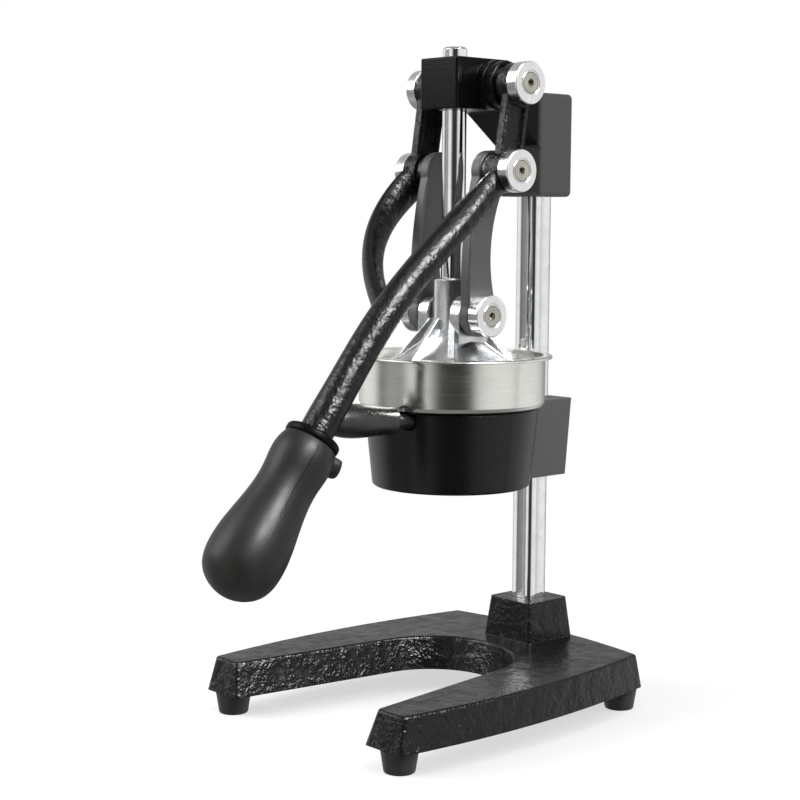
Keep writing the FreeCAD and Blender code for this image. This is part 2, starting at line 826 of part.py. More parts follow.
def make_crank():
    """The right crank arm with its two hubs and the sunken panel on its outer face."""
    top_hub = crosswise(top_hub_radius, top_hub_x, top_hub_x + top_hub_width,
                        top_pivot_y, top_pivot_z)
    hub_end = crank_hub_x + crank_hub_width
    crank_hub = crosswise(crank_hub_radius, crank_hub_x, hub_end, crank_pivot_y, crank_pivot_z)
    outer = top_hub_x + top_hub_width
    half = crank_arm_width / 2
    web = block(top_hub_x, outer, -half, half, 0, crank_length)
    panel = block(outer - crank_panel_depth, outer + 1, -crank_panel_width / 2,
                  crank_panel_width / 2, crank_hub_radius + 1, crank_length - top_hub_radius - 1)
    back_panel = panel.copy()
    back_panel.translate(point(crank_panel_depth - 1 - top_hub_width, 0, 0))
    web = web.makeFillet(1.2, edges_along(web, up, lambda p: True))
    web = web.cut([panel, back_panel])
    web.rotate(origin, along_x, -crank_rest_angle)
    web.translate(point(0, crank_pivot_y, crank_pivot_z))
    return [top_hub, crank_hub, web]


def make_lever():
    pieces = []
    for piece in make_crank():
        pieces += both_sides(piece)
    end = bar_run_length()
    y, z, angle = run_place(end)
    ahead = point(0, -math.sin(angle), -math.cos(angle))
    tang = Part.makeCylinder(tang_radius, tang_length + 1, point(bar_x, y, z) - ahead, ahead)
    body = make_bar().fuse(pieces + [make_bow(), tang])
    top_hole = crosswise(shaft_radius + running_clearance, top_hub_x - 1,
                         top_hub_x + top_hub_width + 1, top_pivot_y, top_pivot_z)
    crank_hole = crosswise(shaft_radius, crank_hub_x - 1, crank_hub_x + crank_hub_width + 1,
                           crank_pivot_y, crank_pivot_z)
    body = body.cut(both_sides(top_hole) + both_sides(crank_hole))
    spacer_space = crosswise(spacer_radius + 1, 0, crank_hub_x, crank_pivot_y, crank_pivot_z)
    cap_space = crosswise(cap_radius + 0.5, crank_hub_x + crank_hub_width,
                          crank_cap_x + cap_width, crank_pivot_y, crank_pivot_z)
    return body.cut(both_sides(spacer_space) + both_sides(cap_space))


def place_on_bar(shape, distance):
    """Moves a shape from the vertical axis to the bar's axis beyond its end."""
    y, z, angle = run_place(bar_run_length())
    ahead = point(0, -math.sin(angle), -math.cos(angle))
    shape.Placement = FreeCAD.Placement(point(bar_x, y, z) + ahead * distance,
                                        FreeCAD.Rotation(up, ahead))
    return shape


def make_collar():
    ring = upright(collar_radius, 0, collar_width)
    ring = ring.makeFillet(collar_width * 0.36, [edge for edge in ring.Edges
                                                 if edge.Curve.TypeId == "Part::GeomCircle"])
    ring = ring.cut(upright(tang_radius, -1, collar_width + 1))
    return place_on_bar(ring, 0)


def grip_body(shrink):
    """The turned body of the grip, made smaller all round by a depth."""
    curve = Part.BSplineCurve()
    end = grip_length
    curve.interpolate([
        point(grip_top_radius - shrink, 0, 0),
        point(grip_shoulder_radius - shrink, 0, grip_bulb_distance * 0.14),
        point(grip_waist_radius - shrink, 0, grip_bulb_distance * 0.32),
        point(grip_waist_radius * 0.6 + grip_bulb_radius * 0.4 - shrink, 0,
              grip_bulb_distance * 0.66),
        point(grip_bulb_radius - shrink, 0, grip_bulb_distance),
        point(grip_bulb_radius * 0.82 - shrink, 0, grip_bulb_distance * 0.35 + end * 0.65),
        point(grip_bulb_radius * 0.36 - shrink * 0.5, 0, end - 1.4 - shrink),
        point(0, 0, end - shrink),
    ])
    axis = line(point(0, 0, end - shrink), point(0, 0, 0))
    top = line(point(0, 0, 0), point(grip_top_radius - shrink, 0, 0))
    return Part.Face(Part.Wire([curve.toShape(), axis, top])).revolve(origin, up, 360)


def make_finger_guard():
    """A rounded bump that swells out of the grip's underside next to the collar."""
    root = grip_waist_radius * 0.35
    curve = Part.BSplineCurve()
    curve.interpolate([
        point(grip_guard_radius * 1.9, 0, grip_waist_radius * 0.7),
        point(grip_guard_radius * 1.25, 0, grip_waist_radius * 0.92),
        point(grip_guard_radius, 0, grip_guard_height * 0.5 + grip_waist_radius * 0.6),
        point(grip_guard_radius * 0.75, 0, grip_guard_height - 1.4),
        point(0, 0, grip_guard_height),
    ])
    outline = Part.Wire([
        curve.toShape(),
        line(point(0, 0, grip_guard_height), point(0, 0, root)),
        line(point(0, 0, root), point(grip_guard_radius * 1.9, 0, root)),
        line(point(grip_guard_radius * 1.9, 0, root),
             point(grip_guard_radius * 1.9, 0, grip_waist_radius * 0.7)),
    ])
    guard = Part.Face(outline).revolve(origin, up, 360)
    lean = math.radians(grip_guard_lean)
    outward = point(0, -math.cos(lean), -math.sin(lean))
    guard.Placement = FreeCAD.Placement(point(0, 0, grip_guard_distance),
                                        FreeCAD.Rotation(up, outward))
    reach = grip_guard_height + 1
    return guard.common(block(-reach, reach, -reach, reach, 0, grip_length))


def make_grip():
    body = grip_body(0)
    seam = block(-grip_bulb_radius, grip_bulb_radius, -grip_seam_width / 2,
                 grip_seam_width / 2, grip_seam_width * 4, grip_seam_length)
    body = body.cut(seam.cut(grip_body(grip_seam_depth)))
    body = body.fuse(make_finger_guard())
    body.rotate(origin, up, grip_turn)
    body = body.cut(upright(tang_radius, -1, tang_length - collar_width))
    return place_on_bar(body, collar_width)


# Bowl, funnel and cup


def make_bowl():
    bottom = bowl_top - bowl_height
    ledge = bowl_top - bowl_ledge_depth
    inner_top = bowl_top_radius - bowl_wall
    taper = (bowl_top_radius - bowl_bottom_radius) / bowl_height
    inner_ledge = inner_top - taper * bowl_ledge_depth
    inner_bottom = bowl_bottom_radius - bowl_wall
    bowl = turned([
        (bowl_outlet_radius, bottom),
        (bowl_bottom_radius - 1, bottom),
        (bowl_bottom_radius, bottom + 1),
        (bowl_top_radius, bowl_top - 1),
        (bowl_top_radius - 1, bowl_top),
        (inner_top, bowl_top),
        (inner_ledge, ledge),
        (inner_ledge - bowl_ledge_width, ledge),
        (inner_bottom - bowl_ledge_width, bottom + bowl_floor),
        (bowl_outlet_radius, bottom + bowl_floor),
    ])
    half_depth = (clamp_rear_y - bowl_bottom_radius + bowl_wall) / 2
    centre = clamp_rear_y - half_depth
    clamp = tapered_block(
        rounded_square(clamp_half_width - clamp_taper / 2, half_depth - clamp_taper / 2,
                       clamp_corner_radius, centre - clamp_taper / 2, bottom),
        rounded_square(clamp_half_width, half_depth, clamp_corner_radius, centre, bowl_top))
    inside = Part.makeCone(bowl_bottom_radius - 1, bowl_top_radius - 1, bowl_height + 2,
                           point(0, 0, bottom - 0.5), up)
    bowl = bowl.fuse(clamp.cut(inside))
    hole = column_half_side + slip_clearance
    socket = Part.Face(rounded_square(hole, hole, column_corner_radius, column_y, bottom - 1))
    bowl = bowl.cut(socket.extrude(point(0, 0, bowl_height + 3)))
    notch_half = neck_radius + neck_clearance
    notch_z = bowl_top - handle_drop
    notch = block(handle_x - notch_half, handle_x + notch_half, -bowl_top_radius - 5,
                  -bowl_bottom_radius * 0.6, notch_z, bowl_top + 1)
    notch = notch.fuse(Part.makeCylinder(notch_half, bowl_top_radius,
                                         point(handle_x, -bowl_top_radius - 5, notch_z), along_y))
    bowl = bowl.cut(notch)
    for z in set_screw_levels(bottom, bowl_top):
        bowl = bowl.cut(Part.makeCylinder(set_screw_radius, clamp_rear_y - column_y,
                                          point(0, column_y, z), along_y))
    return bowl


def make_funnel():
    ledge = bowl_top - bowl_ledge_depth
    bottom = bowl_top - bowl_height
    taper = (bowl_top_radius - bowl_bottom_radius) / bowl_height
    rim = bowl_top_radius - bowl_wall - taper * bowl_ledge_depth - 0.3
    throat = bottom + funnel_spout_length
    return turned([
        (rim, ledge),
        (rim, ledge + funnel_wall),
        (rim - bowl_ledge_width - 2, ledge + funnel_wall),
        (funnel_spout_radius, throat + funnel_wall),
        (funnel_spout_radius, bottom),
        (funnel_spout_radius + funnel_wall, bottom),
        (funnel_spout_radius + funnel_wall, throat - 0.2),
        (rim - bowl_ledge_width - 2, ledge - 0.6),
        (rim - bowl_ledge_width - 1, ledge),
    ])


def make_cup():
    floor = cup_bottom - cup_lower_depth
    outside = turned([
        (0, floor),
        (cup_lower_radius - 2, floor),
        (cup_lower_radius, floor + 2),
        (cup_lower_radius, bowl_top),
        (cup_radius - cup_corner_radius, bowl_top),
        (cup_radius - cup_corner_radius * 0.3, bowl_top + cup_corner_radius * 0.3),
        (cup_radius, bowl_top + cup_corner_radius),
        (cup_radius, cup_top - cup_wall),
        (cup_radius + cup_flange_reach, cup_top - cup_wall - 0.6),
        (cup_radius + cup_flange_reach, cup_top - 0.6),
        (cup_radius + cup_flange_reach - 1, cup_top),
        (0, cup_top),
    ])
    inside = turned([
        (0, floor + cup_wall + cup_cone_height),
        (cup_cone_tip_radius, floor + cup_wall + cup_cone_height - 1.5),
        (cup_cone_radius, floor + cup_wall),
        (cup_lower_radius - cup_wall - 2, floor + cup_wall),
        (cup_lower_radius - cup_wall, floor + cup_wall + 2),
        (cup_lower_radius - cup_wall, bowl_top + cup_wall),
        (cup_radius - cup_wall - 2, bowl_top + cup_wall),
        (cup_radius - cup_wall, bowl_top + cup_wall + 2),
        (cup_radius - cup_wall, cup_top + 1),
        (0, cup_top + 1),
    ])
    under = turned([
        (0, floor - 1),
        (cup_cone_radius - cup_wall, floor - 1),
        (cup_cone_radius - cup_wall, floor),
        (cup_cone_tip_radius - 1, floor + cup_cone_height - 1.5),
        (0, floor + cup_cone_height - 1.5),
    ])
    cup = outside.cut([inside, under])
    slots = []
    slot_middle = (cup_cone_radius + cup_lower_radius - cup_wall) / 2
    for k in range(cup_slot_count):
        slot = block(slot_middle - cup_slot_length / 2, slot_middle + cup_slot_length / 2,
                     -cup_slot_width / 2, cup_slot_width / 2, floor - 1, floor + cup_wall + 1)
        slot.rotate(origin, up, 360 / cup_slot_count * k)
        slots.append(slot)
    return cup.cut(slots)


handle_z = bowl_top - handle_drop


cup_grip_start_y = -(cup_radius + cup_grip_gap)


def tilted_handle(shape):
    """Raises the outer end of the cup's handle about the point where it meets the cup."""
    shape.rotate(point(handle_x, -cup_lower_radius, handle_z), along_x, -handle_tilt)
    return shape


def make_neck():
    neck = Part.makeCylinder(neck_radius, -cup_grip_start_y,
                             point(handle_x, cup_grip_start_y, handle_z), along_y)
    tang_length = cup_grip_length * 0.5
    tang = Part.makeCylinder(neck_radius * 0.7, tang_length + 2,
                             point(handle_x, cup_grip_start_y - tang_length, handle_z), along_y)
    neck = tilted_handle(neck.fuse(tang))
    return neck.cut(upright(cup_lower_radius, 0, cup_top))


def make_cup_grip():
    curve = Part.BSplineCurve()
    curve.interpolate([
        point(cup_grip_root_radius, 0, 0),
        point(cup_grip_middle_radius, 0, cup_grip_length * 0.42),
        point(cup_grip_end_radius + 0.8, 0, cup_grip_length * 0.85),
        point(cup_grip_end_radius * 0.6, 0, cup_grip_length - 0.8),
        point(0, 0, cup_grip_length),
    ])
    outline = Part.Wire([curve.toShape(),
                         line(point(0, 0, cup_grip_length), point(0, 0, 0)),
                         line(point(0, 0, 0), point(cup_grip_root_radius, 0, 0))])
    grip = Part.Face(outline).revolve(origin, up, 360)
    grip = grip.cut(upright(neck_radius * 0.7, -1, cup_grip_length * 0.5))
    grip.Placement = FreeCAD.Placement(point(handle_x, cup_grip_start_y, handle_z),
                                       FreeCAD.Rotation(up, point(0, -1, 0)))
    return tilted_handle(grip)


def save(name, shape):
    solids = shape if isinstance(shape, list) else [shape]
    checked = []
    for solid in solids:
        if not solid.isValid():
            raise ValueError(name + " is not a valid solid")
        checked += solid.Solids
    whole = checked[0] if len(checked) == 1 else Part.makeCompound(checked)
    whole.exportStep("parts/" + name + ".step")
    box = whole.BoundBox
    print(name, len(checked), "solids", round(whole.Volume), "mm3, z",
          round(box.ZMin, 1), "to", round(box.ZMax, 1))


os.makedirs("parts", exist_ok=True)

save("base_casting", make_base())
save("rubber_feet", make_feet())
save("foot_screws", make_foot_screws())
save("column", make_column())
save("column_bolt", make_column_bolt())
save("column_washer", make_column_washer())
save("head_casting", make_head())
save("head_set_screws", make_set_screws(head_block_bottom, head_block_top,
                                        column_y + head_block_half_depth))
save("guide_bushes", make_guide_bushes())
save("top_shaft", make_top_shaft())
top_spacer = make_ring(shaft_radius, spacer_radius, boss_reach, boss_reach + spacer_width,
                       top_pivot_y, top_pivot_z)
save("top_spacers", both_sides(top_spacer))
save("top_caps", both_sides(make_cap(top_cap_x, top_pivot_y, top_pivot_z)))
save("top_cap_screws", both_sides(make_cap_screw(top_cap_x, top_pivot_y, top_pivot_z)))

save("bowl_holder", make_bowl())
save("holder_clamp_screws", make_set_screws(bowl_top - bowl_height, bowl_top,
                                            clamp_rear_y - clamp_taper))
save("juice_funnel", make_funnel())
save("strainer_cup", make_cup())
save("cup_neck", make_neck())
save("cup_grip", make_cup_grip())

save("lever_casting", make_lever())
save("grip_collar", make_collar())
save("lever_grip", make_grip())
save("crank_pins", both_sides(make_pin(crank_pin_x, crank_cap_x, crank_pivot_y, crank_pivot_z)))
crank_spacer = make_ring(shaft_radius, spacer_radius, crank_pin_x, crank_hub_x,
                         crank_pivot_y, crank_pivot_z)
save("crank_spacers", both_sides(crank_spacer))
save("crank_caps", both_sides(make_cap(crank_cap_x, crank_pivot_y, crank_pivot_z)))
save("crank_cap_screws", both_sides(make_cap_screw(crank_cap_x, crank_pivot_y, crank_pivot_z)))

right_link = make_link()
save("right_link", right_link)
save("left_link", mirrored(right_link))
right_bush = make_link_bush()
save("right_link_bush", right_bush)
save("left_link_bush", mirrored(right_bush))

save("press_bell", make_bell())
save("guide_rod", make_rod())
save("rod_screw", make_rod_screw())
save("ear_pins", both_sides(make_pin(hub_radius + 0.4, ear_cap_x, 0, ear_pivot_z)))
save("ear_caps", both_sides(make_cap(ear_cap_x, 0, ear_pivot_z)))
save("ear_cap_screws", both_sides(make_cap_screw(ear_cap_x, 0, ear_pivot_z)))
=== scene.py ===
import math

import bpy
from mathutils import Matrix, Vector

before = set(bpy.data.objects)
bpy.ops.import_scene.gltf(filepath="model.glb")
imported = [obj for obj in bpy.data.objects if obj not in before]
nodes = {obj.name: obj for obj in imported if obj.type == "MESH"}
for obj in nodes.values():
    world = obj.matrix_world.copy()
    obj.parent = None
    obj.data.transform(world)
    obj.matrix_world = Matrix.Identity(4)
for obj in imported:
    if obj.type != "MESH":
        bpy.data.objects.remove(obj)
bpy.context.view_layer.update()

MM = 0.001

# Camera, fitted to the photograph's view: metres, degrees, and millimetres for lens and sensor
CAMERA_PLACE = Vector((0.7308, -0.6998, 0.2922))
CAMERA_AZIMUTH = 47.97
CAMERA_PITCH = 6.07
CAMERA_ROLL = 0.38
CAMERA_LENS = 77.42
CAMERA_SENSOR = 36.0

# Finishes
BEVEL_SAMPLES = 4
EDGE_COSINES = (0.86, 0.985)  # between the rounded and the plain normal: full edge, no edge
STEEP_RANGE = (0.35, 0.9)  # upward part of the normal: upright, level
COLOUR_STEP = 2 * MM  # half the width of the change to the rear colour
CORNER_POWER = 2.3  # of the column's section: 2 is round, higher is squarer
# Share of painted shade along a screw head's rim
RIM_SHADE = 0.9

# Floor, in metres. The camera sees it partly as plain white: by this share near the press,
# and wholly from the second distance on.
FLOOR_HALF = 3.0
FLOOR_GREY = 0.9
FLOOR_WHITE_SHARE = 0.62
FLOOR_FADE = (0.22, 0.75)

# Brightness of the room by bearing, which polished metal reflects as bands: degrees to the
# right of the camera, then brightness. It blends into the ceiling and the ground by height.
ROOM = [(-180, 0.6), (-150, 0.7), (-134, 1.0), (-112, 1.0), (-105, 0.6), (-99, 0.14),
        (-95, 0.22), (-84, 0.42), (-74, 0.4), (-64, 0.3), (-55, 0.9), (-47, 1.0), (-34, 1.0),
        (-25, 0.4), (-16, 0.05), (12, 0.04), (21, 0.1), (31, 0.8), (45, 0.95), (78, 1.0),
        (82, 0.72), (86, 0.72), (90, 1.0), (112, 1.0), (128, 0.9), (142, 0.6), (155, 0.3),
        (166, 0.4), (180, 0.6)]
CEILING = 0.4
CEILING_BLEND = (0.3, 0.75)
GROUND = 0.25
GROUND_BLEND = (-0.3, -0.7)

LAMP_AIM = Vector((0, 0, 0.2))


class Wiring:
    """A node tree under construction."""

    def __init__(self, tree):
        tree.nodes.clear()
        self.tree = tree

    def put(self, node, socket, value):
        """Wire an input to another node's output, or set its value."""
        if isinstance(value, bpy.types.NodeSocket):
            self.tree.links.new(value, node.inputs[socket])
        else:
            node.inputs[socket].default_value = value

    def add(self, kind, inputs=None, **settings):
        node = self.tree.nodes.new(kind)
        for name, value in settings.items():
            setattr(node, name, value)
        for socket, value in (inputs or {}).items():
            self.put(node, socket, value)
        return node

    def spread(self, value, low, high, start=0.3, end=0.7, smooth=False):
        """A value that was start to end becomes low to high."""
        return self.add("ShaderNodeMapRange",
                        {"Value": value, "From Min": start, "From Max": end,
                         "To Min": low, "To Max": high},
                        interpolation_type="SMOOTHSTEP" if smooth else "LINEAR").outputs[0]

    def math(self, operation, first, second=0.0):
        return self.add("ShaderNodeMath", {0: first, 1: second}, operation=operation).outputs[0]

    def mix(self, share, first, second):
        """The first colour where the share is 0 and the second where it is 1."""
        first, second = (colour + (1.0,) if isinstance(colour, tuple) else colour
                         for colour in (first, second))
        return self.add("ShaderNodeMix", {"Factor": share, 6: first, 7: second},
                        data_type="RGBA").outputs[2]

    def blend(self, share, first, second):
        """The first shader where the share is 0 and the second where it is 1."""
        return self.add("ShaderNodeMixShader", {0: share, 1: first, 2: second}).outputs[0]


class Recipe(Wiring):
    """A material under construction, patterned in its object's own coordinates."""

    def __init__(self, name):
        self.material = bpy.data.materials.new(name)
        self.material.use_nodes = True
        super().__init__(self.material.node_tree)
        self.shader = self.add("ShaderNodeBsdfPrincipled")
        self.add("ShaderNodeOutputMaterial", {0: self.shader.outputs[0]})
        self.coordinates = self.add("ShaderNodeTexCoord").outputs["Object"]

    def set(self, **values):
        """Fill the shader's inputs: base_color is its Base Color."""
        for name, value in values.items():
            self.put(self.shader, name.replace("_", " ").title().replace("Ior", "IOR"), value)

    def parts(self, vector):
        return self.add("ShaderNodeSeparateXYZ", {0: vector}).outputs

    def plain_normal(self):
        return self.add("ShaderNodeNewGeometry").outputs["Normal"]

    def stretched(self, x, y, z):
        return self.add("ShaderNodeMapping",
                        {"Vector": self.coordinates, "Scale": (x, y, z)}).outputs[0]

    def noise(self, scale, detail=3.0, roughness=0.55, distortion=0.0, vector=None):
        return self.add("ShaderNodeTexNoise",
                        {"Vector": vector or self.coordinates, "Scale": scale, "Detail": detail,
                         "Roughness": roughness, "Distortion": distortion}).outputs[0]

    def cells(self, scale):
        return self.add("ShaderNodeTexVoronoi", {"Vector": self.coordinates, "Scale": scale},
                        feature="SMOOTH_F1").outputs["Distance"]

    def bump(self, height, distance, normal, strength=1.0):
        return self.add("ShaderNodeBump", {"Height": height, "Distance": distance,
                                           "Strength": strength, "Normal": normal}).outputs[0]

    def soft_edges(self, radius):
        return self.add("ShaderNodeBevel", {"Radius": radius}, samples=BEVEL_SAMPLES).outputs[0]

    def steepness(self):
        """Near 1 on an upright face and 0 on a level one."""
        upward = self.math("ABSOLUTE", self.parts(self.plain_normal())["Z"])
        return self.spread(upward, 1.0, 0.0, *STEEP_RANGE)

    def edge_mask(self, radius):
        """Near 1 at an outer edge and 0 on an open face."""
        likeness = self.add("ShaderNodeVectorMath",
                            {0: self.soft_edges(radius), 1: self.plain_normal()},
                            operation="DOT_PRODUCT").outputs["Value"]
        return self.spread(likeness, 1.0, 0.0, *EDGE_COSINES)

    def rounded_square(self, centre, half, power):
        """Normals of an upright bar whose flat sides run smoothly into round corners."""
        place = self.parts(self.coordinates)
        joined = self.add("ShaderNodeCombineXYZ")
        for axis, middle in zip("XY", centre):
            offset = self.math("DIVIDE", self.math("SUBTRACT", place[axis], middle), half)
            size = self.math("POWER", self.math("ABSOLUTE", offset), power)
            self.put(joined, axis, self.math("MULTIPLY", size, self.math("SIGN", offset)))
        return self.add("ShaderNodeVectorMath", {0: joined.outputs[0]},
                        operation="NORMALIZE").outputs[0]


def shaded(colour, factor, lift=0.0):
    return tuple(channel * factor + lift for channel in colour)


def cast_paint(name, colour, cell, depth, gloss, shine):
    """Thick black paint over a rough casting: waves, a wrinkled skin, pits and duller patches."""
    r = Recipe(name)
    waves = r.noise(1 / (cell * 6), 3.0, 0.5)
    skin = r.noise(1 / cell, 3.0, 0.5, 0.4)
    pits = r.spread(r.cells(1 / (cell * 1.9)), 0.0, 1.0, 0.05, 0.45)
    dust = r.noise(1 / (cell * 0.22), 2.0, 0.6)
    patchy = r.spread(waves, 0.35, 1.0, 0.38, 0.6)
    steep_share = r.spread(r.steepness(), 0.3, 1.0, 0.0, 1.0)
    height = r.math("ADD", skin, r.math("MULTIPLY", pits, 0.45))
    height = r.math("MULTIPLY", height, r.math("MULTIPLY", patchy, steep_share))
    height = r.math("ADD", height, r.math("MULTIPLY", waves, 0.7))
    tone = r.mix(r.spread(waves, 0.0, 1.0), colour, shaded(colour, 1.6))
    # Lighter colour along the edges: worn paint and a painted highlight.
    edge_wear_and_highlight = r.math("MULTIPLY", r.edge_mask(1.2 * MM), r.spread(dust, 0.0, 0.5))
    r.set(base_color=r.mix(edge_wear_and_highlight, tone, shaded(colour, 4, 0.004)),
          roughness=r.math("ADD", r.spread(waves, gloss + 0.14, gloss - 0.04),
                           r.spread(dust, -0.03, 0.05)),
          specular_ior_level=shine,
          normal=r.bump(height, depth, r.soft_edges(0.9 * MM)))
    return r.material


def smooth_paint(name, colour, gloss, shine, peel, lit_rear_colour=None, rear_start=0.0):
    """Smooth paint with a slight orange peel, fine dust and lighter edges, which are a painted
    highlight.

    A second, lighter colour on the block at the rear, around the column, is painted light: the
    block has the same black paint.
    """
    r = Recipe(name)
    skin = r.noise(1 / (2.2 * MM), 2.0, 0.4)
    dust = r.noise(1 / (0.35 * MM), 3.0, 0.7)
    broad = r.noise(1 / (28 * MM), 2.0)
    tone = r.mix(r.spread(broad, 0.0, 1.0), colour, shaded(colour, 1.25))
    roughness = r.spread(dust, gloss - 0.04, gloss + 0.06)
    # The rear block: a lighter colour that is painted light, and a rougher surface.
    if lit_rear_colour is not None:
        rear = r.spread(r.parts(r.coordinates)["Y"], 0.0, 1.0,
                        rear_start - COLOUR_STEP, rear_start + COLOUR_STEP)
        tone = r.mix(rear, tone, lit_rear_colour)
        roughness = r.math("ADD", roughness, r.math("MULTIPLY", rear, 0.24))
    # Lighter colour along the edges: a painted highlight, broken up by the dust.
    edge_wear_and_highlight = r.math("MULTIPLY", r.edge_mask(0.9 * MM), r.spread(dust, 0.0, 0.4))
    r.set(base_color=r.mix(edge_wear_and_highlight, tone, shaded(colour, 2.2, 0.006)),
          roughness=roughness, specular_ior_level=shine,
          normal=r.bump(skin, peel, r.soft_edges(0.8 * MM)))
    return r.material


def bright_metal(name, colour, gloss, lines, line_depth, bar=None, rim=0.0):
    """Plated or turned metal with fine lines, faint smears and a few darker specks.

    A square bar is given by its centre and half side. A rim is painted shade: darker colour along
    the edges.
    """
    r = Recipe(name)
    grain = r.noise(1.0, 3.0, 0.6, vector=r.stretched(*lines))
    smear = r.noise(1 / (9 * MM), 3.0, 0.6, 0.6)
    speck = r.noise(1 / (0.6 * MM), 2.0, 0.6)
    tone = r.mix(r.spread(smear, 0.0, 1.0, 0.35, 0.75), colour, shaded(colour, 0.86))
    tone = r.mix(r.spread(speck, 0.0, 0.5, 0.68, 0.8), tone, shaded(colour, 0.6))
    if rim:
        # Painted shade: darker along the edges, as in the groove around a screw head.
        rim_shade = r.math("MULTIPLY", r.edge_mask(rim), RIM_SHADE)
        tone = r.mix(rim_shade, tone, shaded(colour, 0.12))
    normal = r.rounded_square(*bar, CORNER_POWER) if bar else r.soft_edges(0.4 * MM)
    r.set(base_color=tone, metallic=1.0,
          roughness=r.math("ADD", r.spread(smear, gloss * 0.7, gloss * 1.3),
                           r.spread(grain, -0.02, 0.03)),
          normal=r.bump(grain, line_depth, normal))
    return r.material


def brushed_steel(name, colour):
    """Brushed around the vertical axis, with broad soft bands and a few brighter strokes."""
    r = Recipe(name)
    strokes = r.noise(1.0, 4.0, 0.7, vector=r.stretched(30, 30, 5200))
    wide = r.noise(1.0, 2.0, 0.5, vector=r.stretched(60, 60, 900))
    smear = r.noise(1 / (24 * MM), 3.0, 0.55, 0.4)
    tone = r.mix(r.spread(strokes, 0.0, 1.0), shaded(colour, 0.84), colour)
    tone = r.mix(r.spread(smear, 0.0, 0.55, 0.4, 0.8), tone, shaded(colour, 0.72))
    r.set(base_color=tone, metallic=1.0, anisotropic=0.45,
          roughness=r.math("ADD", r.spread(wide, 0.16, 0.21), r.spread(strokes, -0.03, 0.04)),
          normal=r.bump(strokes, 0.02 * MM, r.soft_edges(0.5 * MM), 0.6))
    return r.material


def cast_aluminium(name, colour):
    """Satin casting: a fine sand grain, shallow dimples and greyer hollows."""
    r = Recipe(name)
    sand = r.noise(1 / (0.45 * MM), 4.0, 0.6)
    dimple = r.noise(1 / (3.5 * MM), 2.0, 0.5)
    stain = r.noise(1 / (15 * MM), 4.0, 0.6, 0.5)
    height = r.math("ADD", r.math("MULTIPLY", dimple, 1.2), sand)
    r.set(base_color=r.mix(r.spread(stain, 0.0, 0.8, 0.4, 0.75), colour, shaded(colour, 0.68)),
          metallic=1.0, roughness=r.spread(sand, 0.16, 0.28),
          normal=r.bump(height, 0.08 * MM, r.soft_edges(0.7 * MM)))
    return r.material


def moulded(name, colour, gloss, shine, grain, depth):
    """Moulded plastic or rubber: a fine grain, faint flow marks and rubbed high spots."""
    r = Recipe(name)
    fine = r.noise(1 / grain, 3.0, 0.6)
    flow = r.noise(1.0, 3.0, 0.55, 0.8, vector=r.stretched(45, 45, 18))
    rub = r.noise(1 / (11 * MM), 3.0, 0.6)
    tone = r.mix(r.spread(flow, 0.0, 1.0), colour, shaded(colour, 1.28))
    tone = r.mix(r.spread(rub, 0.0, 0.45, 0.55, 0.85), tone, shaded(colour, 0.7))
    r.set(base_color=tone,
          roughness=r.math("ADD", r.spread(rub, gloss - 0.06, gloss + 0.06),
                           r.spread(fine, -0.03, 0.03)),
          specular_ior_level=shine,
          normal=r.bump(fine, depth, r.soft_edges(0.6 * MM)))
    return r.material


def reach(name, axis):
    """The lowest and highest place of a node along an axis."""
    places = [(nodes[name].matrix_world @ vertex.co)[axis] for vertex in nodes[name].data.vertices]
    return min(places), max(places)


column_left, column_right = reach("column", 0)
column_front, column_rear = reach("column", 1)
column_middle = ((column_left + column_right) / 2, (column_front + column_rear) / 2)
column_half = (column_right - column_left) / 2

# Linear colours
BLACK = (0.003, 0.003, 0.0032)
GREY = (0.042, 0.042, 0.042)
# Painted light: the lit rear block, lighter than its black paint.
LIT_REAR_GREY = (0.06, 0.06, 0.06)
BLACKENED = (0.006, 0.006, 0.006)
CHROME = (0.8, 0.81, 0.82)
CAP_CHROME = (0.86, 0.86, 0.85)
ZINC = (0.6, 0.6, 0.57)
SCREW_STEEL = (0.36, 0.35, 0.31)
BRONZE = (0.62, 0.41, 0.19)
CUP_STEEL = (0.76, 0.76, 0.715)
ALUMINIUM = (0.62, 0.63, 0.64)
GRIP_BLACK = (0.015, 0.015, 0.014)
HANDLE_BLACK = (0.007, 0.007, 0.0066)
RUBBER_BLACK = (0.008, 0.008, 0.008)

coarse_black = cast_paint("coarse_black_paint", BLACK, cell=1.5 * MM, depth=0.52 * MM,
                          gloss=0.19, shine=0.23)
fine_black = cast_paint("fine_black_paint", BLACK, cell=1.1 * MM, depth=0.34 * MM,
                        gloss=0.2, shine=0.18)
satin_grey = smooth_paint("satin_grey_paint", GREY, gloss=0.46, shine=0.38, peel=0.03 * MM)
# Head and bowl holder: the rear block's lighter grey is painted light, not a second paint.
head_black = smooth_paint("head_black_paint", BLACK, gloss=0.22, shine=0.07, peel=0.05 * MM,
                          lit_rear_colour=LIT_REAR_GREY, rear_start=column_front - 7 * MM)
bowl_black = smooth_paint("bowl_black_paint", BLACK, gloss=0.26, shine=0.24, peel=0.06 * MM,
                          lit_rear_colour=LIT_REAR_GREY, rear_start=column_front - 14 * MM)
gloss_black = smooth_paint("gloss_black_paint", BLACK, gloss=0.34, shine=0.04, peel=0.03 * MM)
black_steel = smooth_paint("blackened_steel", BLACKENED, gloss=0.26, shine=0.38,
                           peel=0.04 * MM)
chrome = bright_metal("chrome_plate", CHROME, gloss=0.05, lines=(300, 300, 40),
                      line_depth=0.003 * MM)
column_chrome = bright_metal("column_chrome", CHROME, gloss=0.07, lines=(300, 300, 40),
                             line_depth=0.004 * MM, bar=(column_middle, column_half))
cap_chrome = bright_metal("turned_chrome", CAP_CHROME, gloss=0.16, lines=(60, 900, 900),
                          line_depth=0.02 * MM)
